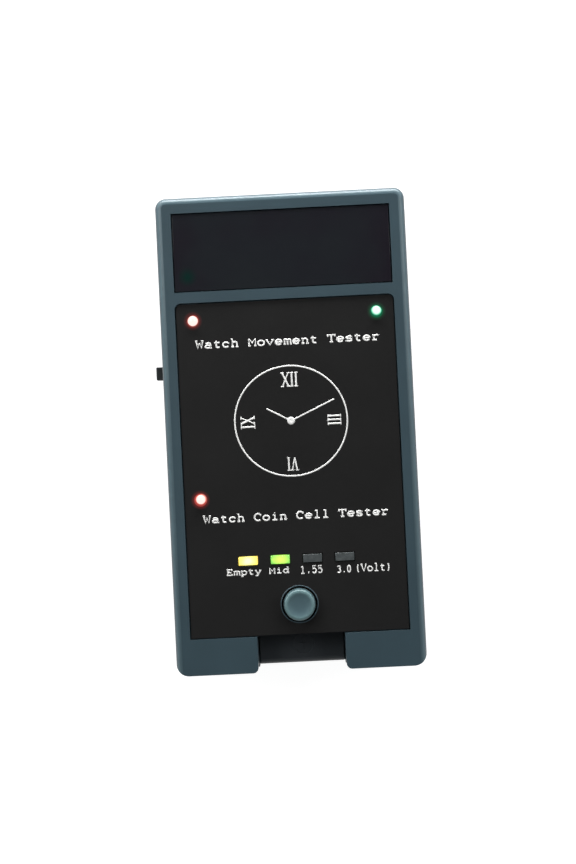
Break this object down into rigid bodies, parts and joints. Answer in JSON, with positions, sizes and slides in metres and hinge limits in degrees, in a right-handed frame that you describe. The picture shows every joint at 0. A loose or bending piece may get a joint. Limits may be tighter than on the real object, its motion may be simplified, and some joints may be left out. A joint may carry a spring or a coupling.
{
  "type": "demagnetizer",
  "caption": "Hand-held watch tester: demagnetizing pad under a smoked window, pulse checker face with dial and lights, push button over a coin-cell slot.",
  "frame": {"origin": "centre of the case on its rear face, the face it lies on", "axes": "+Z out of the front face, +Y towards the demagnetizing window, +X to the right seen from the front"},
  "size_m": [0.0677, 0.125, 0.0305],
  "materials": {
    "case_plastic": "satin moulded teal grey, fine spark texture",
    "smoked_window": "polished smoked sheet",
    "label_film": "matt black printed film",
    "printed_ink": "white screen print",
    "black_plastic": "satin black",
    "button_plastic": "satin teal",
    "led_red": "clear tinted lens, lit",
    "led_green": "clear tinted lens, lit",
    "led_green_unlit": "green tinted lens, unlit",
    "led_yellow": "diffused lens, lit",
    "led_lime": "diffused lens, lit",
    "led_unlit": "grey diffused lens, unlit",
    "steel": "zinc plated",
    "contact_bronze": "phosphor bronze",
    "copper_wire": "enamelled winding",
    "ferrite": "sintered",
    "bobbin_nylon": "natural nylon",
    "board_laminate": "green solder mask",
    "capacitor_sleeve": "shrink sleeve",
    "trimmer_plastic": "moulded",
    "battery_jacket": "plain wrapped steel jacket",
    "foam_pad": "open cell foam",
    "wire_red": "insulated lead",
    "wire_black": "insulated lead"
  },
  "bodies": {
    "case": {"battery_9v": "battery_jacket", "battery_pad": "foam_pad", "battery_snap": "black_plastic", "board_screw_1": "steel", "board_screw_2": "steel", "board_screw_3": "steel", "board_screw_4": "steel", "boost_inductor_core": "ferrite", "boost_inductor_winding": "copper_wire", "case_screw_1": "steel", "case_screw_2": "steel", "case_screw_3": "steel", "case_screw_4": "steel", "cell_contact_strip": "contact_bronze", "cell_tray": "black_plastic", "coil_bobbin": "bobbin_nylon", "coil_core": "ferrite", "coil_winding": "copper_wire", "control_chip": "black_plastic", "demag_window": "smoked_window", "driver_transistor": "black_plastic", "face_label": "label_film", "front_shell": "case_plastic", "lead_black": "wire_black", "lead_red": "wire_red", "led_cell_red": "led_red", "led_demag_green": "led_green_unlit", "led_power_red": "led_red", "led_pulse_green": "led_green", "level_led_full": "led_unlit", "level_led_low": "led_lime", "level_led_mid": "led_unlit", "level_led_renew": "led_yellow", "main_board": "board_laminate", "pickup_core": "ferrite", "pickup_saddle_left": "bobbin_nylon", "pickup_saddle_right": "bobbin_nylon", "pickup_winding": "copper_wire", "pulse_trimmer": "trimmer_plastic", "rear_shell": "case_plastic", "return_spring": "steel", "side_switch_cover": "steel", "side_switch_housing": "black_plastic", "spring_contact_washer": "contact_bronze", "storage_capacitor": "capacitor_sleeve"},
    "test_button": {"test_button": "button_plastic", "test_pin": "contact_bronze", "pin_clip": "steel"},
    "side_button": {"side_button": "black_plastic"},
    "battery_door": {"battery_door": "case_plastic"}
  },
  "joints": [
    {"name": "test_button_press", "type": "slide", "parent": "case", "child": "test_button", "axis": [0, 0, -1], "range_m": [0, 0.0024], "stiffness_N_per_m": 400, "springref_m": -0.0006, "deforming": ["return_spring"]},
    {"name": "side_button_press", "type": "slide", "parent": "case", "child": "side_button", "axis": [1, 0, 0], "range_m": [0, 0.0012], "stiffness_N_per_m": 1200, "springref_m": -0.0004},
    {"name": "battery_door_slide", "type": "slide", "parent": "case", "child": "battery_door", "axis": [0, -1, 0], "range_m": [0, 0.083]}
  ]
}
